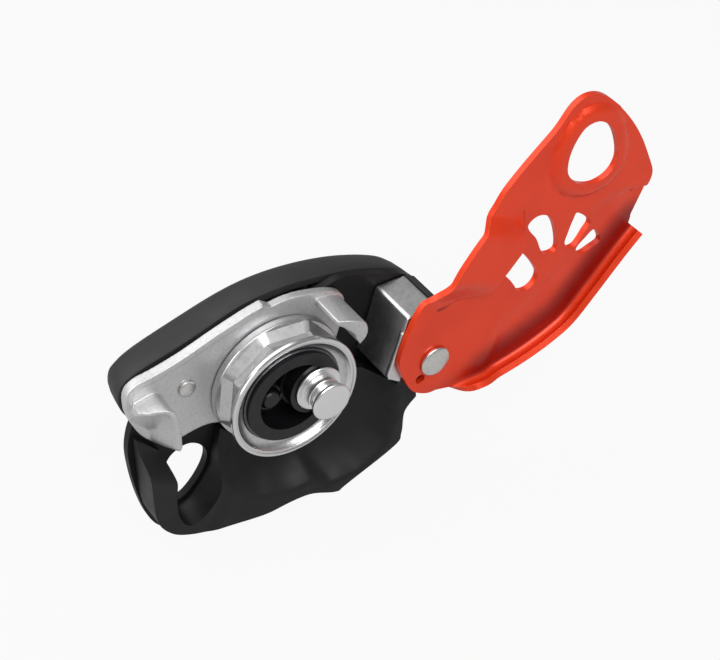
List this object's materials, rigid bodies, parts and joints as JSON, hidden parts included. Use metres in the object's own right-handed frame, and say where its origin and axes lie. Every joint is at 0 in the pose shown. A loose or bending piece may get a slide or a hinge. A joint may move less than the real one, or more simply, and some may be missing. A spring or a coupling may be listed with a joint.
{
  "type": "assisted braking belay device",
  "caption": "Assisted braking belay device with a rope wheel on an eccentric cam, swung-open orange side plate, black rope guide and rear release handle.",
  "frame": {"origin": "middle of the cam axle head's front face, so the cam axle and handle pivot axis is the Y axis", "axes": "+X from the attachment eye towards the friction block, -Y out of the front where the side plate opens, +Z towards the side where both rope strands leave; the side plate is open at rest"},
  "size_m": [0.1684, 0.045, 0.1182],
  "materials": {
    "black_plate": "satin black coated plate",
    "black_nylon": "finely textured black moulding",
    "turned_steel": "turned, semi-bright",
    "dark_steel": "dark oiled steel",
    "wear_steel": "bead-blasted stainless",
    "satin_cam": "blasted satin steel",
    "black_hub": "black, slightly glossy",
    "spring_steel": "drawn wire",
    "wheel_alloy": "turned front, darker rear flange",
    "orange_paint": "satin orange-red coating"
  },
  "bodies": {
    "frame": {"fixed_side_plate": "black_plate", "rope_guide": "black_nylon", "guide_rivet_1": "turned_steel", "guide_rivet_2": "turned_steel", "guide_rivet_3": "turned_steel", "cam_axle": "turned_steel", "axle_rear_washer": "turned_steel", "axle_rear_cap": "dark_steel", "friction_block": "black_nylon", "friction_plate": "wear_steel", "block_rivet_1": "turned_steel", "block_rivet_2": "turned_steel", "side_plate_rivet": "turned_steel", "side_plate_washer": "turned_steel"},
    "cam": {"cam_plate": "satin_cam", "cam_plate_rivet": "turned_steel", "hub_drum": "black_hub", "cam_bush": "dark_steel", "spring_post": "turned_steel", "cam_return_spring": "spring_steel"},
    "wheel": {"rope_wheel": "wheel_alloy", "wheel_sleeve": "dark_steel"},
    "side_plate": {"moving_side_plate": "orange_paint"},
    "handle": {"handle_shell": "black_nylon", "handle_bush": "dark_steel", "handle_core_plate": "spring_steel", "handle_spring": "spring_steel", "handle_drive_pin": "turned_steel"}
  },
  "joints": [
    {"name": "side_plate_hinge", "type": "hinge", "parent": "frame", "child": "side_plate", "pos_m": [0.03605, 0, -0.003], "axis": [0, -1, 0], "range_deg": [0, 150]},
    {"name": "cam_pivot", "type": "hinge", "parent": "frame", "child": "cam", "pos_m": [0, 0, 0], "axis": [0, 1, 0], "range_deg": [0, 25]},
    {"name": "wheel_spin", "type": "hinge", "parent": "cam", "child": "wheel", "pos_m": [-0.0081, 0, 0.00075], "axis": [0, -1, 0], "continuous": true},
    {"name": "handle_pivot", "type": "hinge", "parent": "frame", "child": "handle", "pos_m": [0, 0, 0], "axis": [0, -1, 0], "range_deg": [0, 140]}
  ]
}
